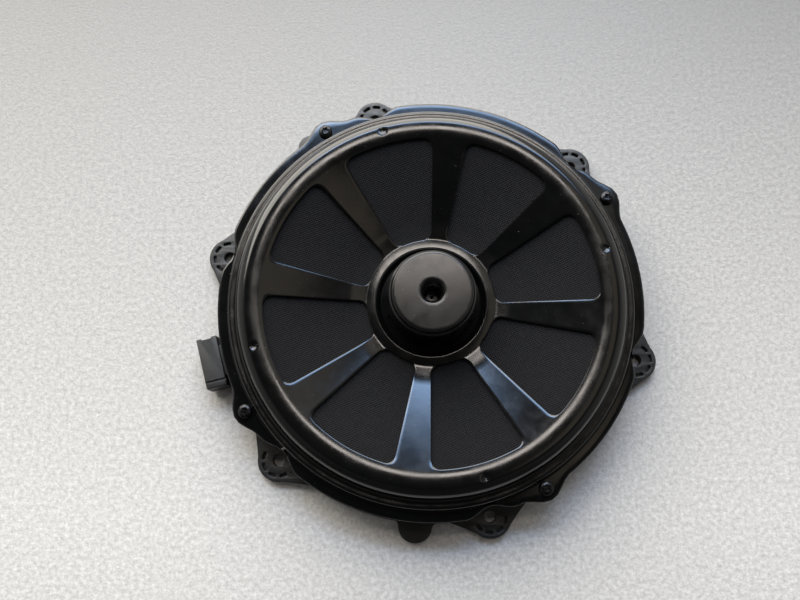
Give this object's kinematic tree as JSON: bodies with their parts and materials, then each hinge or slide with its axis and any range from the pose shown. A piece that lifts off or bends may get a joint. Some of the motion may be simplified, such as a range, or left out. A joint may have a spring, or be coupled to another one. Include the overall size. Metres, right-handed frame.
{
  "type": "car subwoofer speaker",
  "caption": "Shallow round subwoofer for a vehicle: spoked steel basket with fabric-backed windows, cup-shaped motor, front-facing cone, and a plastic mounting ring with ears and a plug.",
  "frame": {"origin": "middle of the outline, in the plane of the ring's front face; the cone's axis stands at x 2.0 mm, y 1.2 mm", "axes": "+Z along the cone's axis, from the front (cone) to the rear (motor); the plug connector is on the -X side"},
  "size_m": [0.2713, 0.2701, 0.055],
  "materials": {
    "painted_steel": "satin black paint",
    "filled_plastic": "matte, faintly grained",
    "screen_cloth": "open plain weave",
    "spider_cloth": "resin-soaked weave",
    "foam": "matte closed-cell foam",
    "surround_rubber": "matte",
    "cone_pulp": "matte fibre",
    "black_zinc": "black zinc plating",
    "nickel_plating": "nickel plated",
    "former_aluminium": "satin foil",
    "copper": "enamelled or braided copper",
    "tinned_brass": "tinned"
  },
  "bodies": {
    "frame": {"basket": "painted_steel", "mounting_ring": "filled_plastic", "basket_screw_1": "black_zinc", "basket_screw_2": "black_zinc", "basket_screw_3": "black_zinc", "basket_screw_4": "black_zinc", "seal_gasket": "foam", "surround_gasket": "foam", "dust_screen": "screen_cloth", "motor_cup": "painted_steel", "magnet": "nickel_plating", "top_plate": "painted_steel", "centre_rivet": "black_zinc", "spider": "spider_cloth", "spider_support": "filled_plastic", "surround": "surround_rubber", "connector_housing": "filled_plastic", "terminal_board": "filled_plastic", "contact_blade_1": "tinned_brass", "contact_blade_2": "tinned_brass", "tinsel_lead_1": "copper", "tinsel_lead_2": "copper"},
    "cone_assembly": {"cone": "cone_pulp", "dust_cap": "cone_pulp", "voice_coil_former": "former_aluminium", "voice_coil_winding": "copper", "cone_eyelet_1": "tinned_brass", "cone_eyelet_2": "tinned_brass"}
  },
  "joints": [
    {"name": "cone_excursion", "type": "slide", "parent": "frame", "child": "cone_assembly", "axis": [0, 0, 1], "range_m": [-0.005, 0.005], "stiffness_N_per_m": 3500, "deforming": ["surround", "spider", "tinsel_lead_1", "tinsel_lead_2"]}
  ]
}
